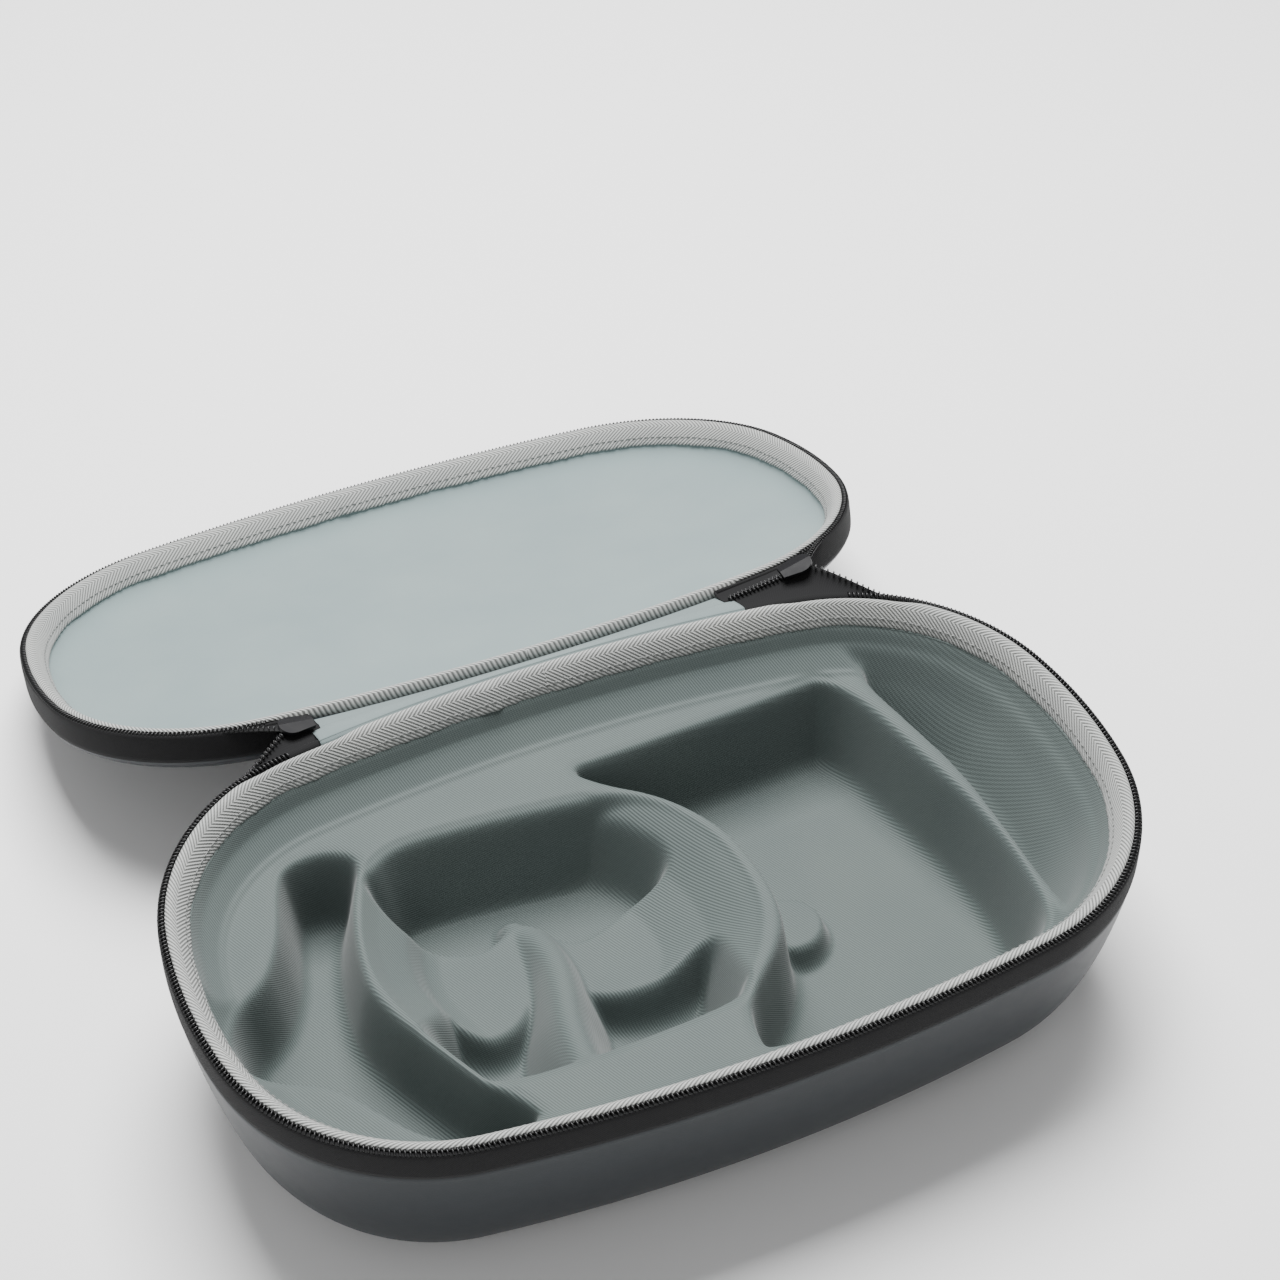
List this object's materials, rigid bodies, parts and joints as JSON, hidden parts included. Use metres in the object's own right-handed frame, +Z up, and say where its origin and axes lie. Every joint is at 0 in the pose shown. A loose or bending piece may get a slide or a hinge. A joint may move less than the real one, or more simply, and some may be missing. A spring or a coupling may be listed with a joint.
{
  "type": "headset carrying case",
  "caption": "Moulded hard-shell zip case with a hinged shallow lid, rolled carrying handle and a lined tray with deep pockets for a headset.",
  "frame": {"origin": "middle of the flat underside of the base", "axes": "+X along the length of the case, +Y towards the hinge side, +Z up"},
  "size_m": [0.34, 0.4059, 0.0851],
  "materials": {
    "shell_skin": "fine-grained coated fabric over moulded foam, soft sheen",
    "patch_skin": "smooth coated leather, soft sheen",
    "handle_skin": "smooth coated leather, soft sheen",
    "tray_cloth": "ribbed tricot bonded to moulded foam",
    "lining_cloth": "fine jersey bonded to the shell",
    "hinge_cloth": "plain woven strip",
    "edge_binding": "herringbone tape, folded and stitched",
    "zipper_tape": "woven polyester tape",
    "zipper_coil": "moulded nylon coil",
    "slider_enamel": "black enamel over die casting",
    "pull_rubber": "soft moulded grip",
    "strap_webbing": "narrow woven webbing",
    "core_foam": "closed-cell foam cord"
  },
  "bodies": {
    "base": {"base_shell": "shell_skin", "headset_tray": "tray_cloth", "base_edge_binding": "edge_binding", "base_zipper_tape": "zipper_tape", "base_tape_ends": "zipper_tape", "base_zipper_coil": "zipper_coil", "hinge_outer_patch": "patch_skin", "hinge_inner_strip": "hinge_cloth"},
    "lid": {"lid_shell": "shell_skin", "lid_lining": "lining_cloth", "lid_edge_binding": "edge_binding", "lid_zipper_tape": "zipper_tape", "lid_tape_ends": "zipper_tape", "lid_zipper_coil": "zipper_coil"},
    "zipper_ends": {"meshed_coil": "zipper_coil"},
    "handle": {"handle_grip_cover": "handle_skin", "handle_cores": "core_foam", "handle_straps": "strap_webbing", "handle_strap_ends": "strap_webbing"},
    "left_slider": {"slider_left": "slider_enamel"},
    "left_pull": {"pull_link_left": "slider_enamel", "pull_grip_left": "pull_rubber"},
    "right_slider": {"slider_right": "slider_enamel"},
    "right_pull": {"pull_link_right": "slider_enamel", "pull_grip_right": "pull_rubber"}
  },
  "joints": [
    {"name": "lid_hinge", "type": "hinge", "parent": "base", "child": "lid", "pos_m": [0, 0.106, 0.079], "axis": [1, 0, 0], "range_deg": [0, 197.49], "deforming": ["hinge_outer_patch", "hinge_inner_strip", "base_tape_ends", "lid_tape_ends"]},
    {"name": "handle_turn", "type": "hinge", "parent": "base", "child": "handle", "pos_m": [0, 0.1003, 0.0751], "axis": [1, 0, 0], "range_deg": [0, 94.81]},
    {"name": "zipper_ends_turn", "type": "hinge", "parent": "base", "child": "zipper_ends", "pos_m": [0, 0.0985, 0.0731], "axis": [1, 0, 0], "range_deg": [0, 94.81]},
    {"name": "left_slider_travel", "type": "slide", "parent": "zipper_ends", "child": "left_slider", "axis": [-0.9907, 0.0114, 0.1355], "range_m": [0, 0.01]},
    {"name": "left_pull_swing", "type": "hinge", "parent": "left_slider", "child": "left_pull", "pos_m": [-0.0937, 0.10526, 0.07113], "axis": [0, 0.9965, -0.0836], "range_deg": [-10, 75]},
    {"name": "right_slider_travel", "type": "slide", "parent": "zipper_ends", "child": "right_slider", "axis": [0.9648, 0.022, 0.2621], "range_m": [0, 0.01]},
    {"name": "right_pull_swing", "type": "hinge", "parent": "right_slider", "child": "right_pull", "pos_m": [0.11056, 0.10551, 0.07418], "axis": [0, -0.9965, 0.0836], "range_deg": [-10, 75]}
  ],
  "couplings": [
    {"joint": "handle_turn", "follows": "lid_hinge", "ratio": 0.48},
    {"joint": "zipper_ends_turn", "follows": "lid_hinge", "ratio": 0.48}
  ]
}
